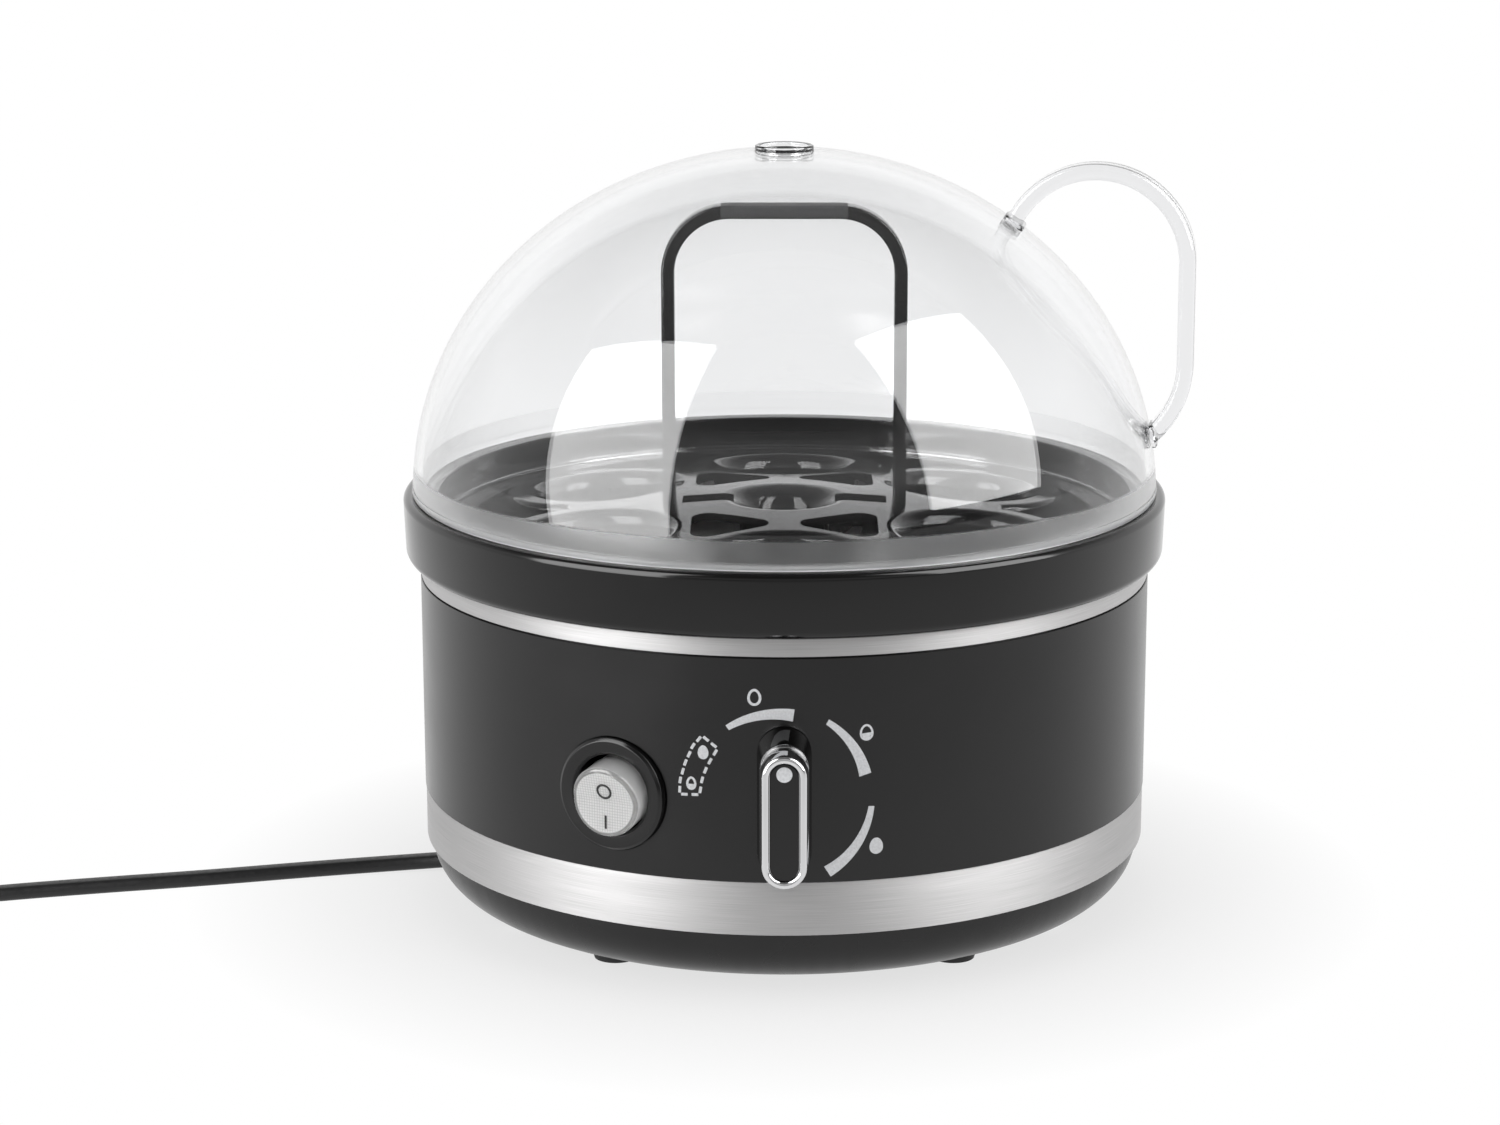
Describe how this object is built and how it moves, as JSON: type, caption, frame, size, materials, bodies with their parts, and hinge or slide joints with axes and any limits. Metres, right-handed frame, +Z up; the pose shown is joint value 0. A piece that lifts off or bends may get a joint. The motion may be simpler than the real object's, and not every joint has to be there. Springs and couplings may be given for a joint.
{
  "type": "egg cooker",
  "caption": "Round electric egg steamer: black body with brushed bands, dial knob and rocker switch, seated egg tray with a carrying loop, clear domed lid with a side handle, mains lead.",
  "frame": {"origin": "on the floor under the body's vertical axis, in the plane of the four feet", "axes": "+Z up, -Y to the front with the dial, +X to the right, where the lid's handle is"},
  "size_m": [0.3975, 0.2, 0.187],
  "materials": {
    "black_gloss": "polished black moulding",
    "black_satin": "fine satin black moulding",
    "steel_band": "fine horizontal brushing",
    "bowl_steel": "pressed and brushed",
    "reflector_sheet": "bright rolled sheet",
    "fastener_steel": "zinc plated",
    "clear_plastic": "clear polished moulding, frosted at the rim",
    "chrome_trim": "bright chrome plating",
    "pale_mark": "pale grey",
    "clear_lens": "clear prismatic cap",
    "white_plastic": "white moulding",
    "black_rubber": "matt black rubber",
    "cord_jacket": "satin black jacket",
    "seal_rubber": "grey silicone",
    "contact_brass": "bare contact metal",
    "pin_metal": "nickel plated",
    "inner_case": "heat resistant moulding",
    "lamp_glass": "small glass lamp"
  },
  "bodies": {
    "base": {"base_pan": "black_satin", "rubber_feet": "black_rubber", "base_screws": "fastener_steel", "body_sleeve": "black_satin", "lower_steel_band": "steel_band", "upper_steel_band": "steel_band", "collar": "black_gloss", "bowl_gasket": "seal_rubber", "heating_bowl": "bowl_steel", "heating_element": "fastener_steel", "reflector_dish": "reflector_sheet", "bowl_studs": "fastener_steel", "stud_nuts": "fastener_steel", "thermostat": "inner_case", "thermostat_spring": "fastener_steel", "regulator": "inner_case", "regulator_screws": "fastener_steel", "regulator_terminals": "contact_brass", "switch_frame": "black_satin", "switch_terminals": "contact_brass", "pilot_lamp": "lamp_glass", "buzzer": "black_satin", "terminal_block": "white_plastic", "terminal_screws": "contact_brass", "strain_relief": "black_rubber", "mains_cord": "cord_jacket", "cord_coil": "cord_jacket", "coil_tie": "black_rubber", "cord_tail": "cord_jacket", "plug_body": "black_rubber", "plug_pin_sleeves": "black_satin", "plug_pins": "pin_metal"},
    "tray": {"egg_tray": "black_gloss", "tray_handle": "black_gloss"},
    "lid": {"lid_dome": "clear_plastic", "lid_handle": "clear_plastic"},
    "knob": {"knob_core": "black_gloss", "knob_cap": "chrome_trim", "knob_inlay": "black_gloss", "knob_dot": "pale_mark", "regulator_shaft": "fastener_steel"},
    "rocker": {"rocker_lens": "clear_lens", "rocker_carrier": "white_plastic"}
  },
  "joints": [
    {"name": "tray_lift", "type": "slide", "parent": "base", "child": "tray", "axis": [0, 0, 1], "range_m": [0, 0.06]},
    {"name": "lid_lift", "type": "slide", "parent": "tray", "child": "lid", "axis": [0, 0, 1], "range_m": [0, 0.09]},
    {"name": "knob_turn", "type": "hinge", "parent": "base", "child": "knob", "pos_m": [0, -0.0905, 0.0483], "axis": [0, 1, 0], "range_deg": [0, 300]},
    {"name": "rocker_tilt", "type": "hinge", "parent": "base", "child": "rocker", "pos_m": [-0.03748, -0.07685, 0.0478], "axis": [-0.8988, 0.4384, 0], "range_deg": [0, 14]}
  ]
}
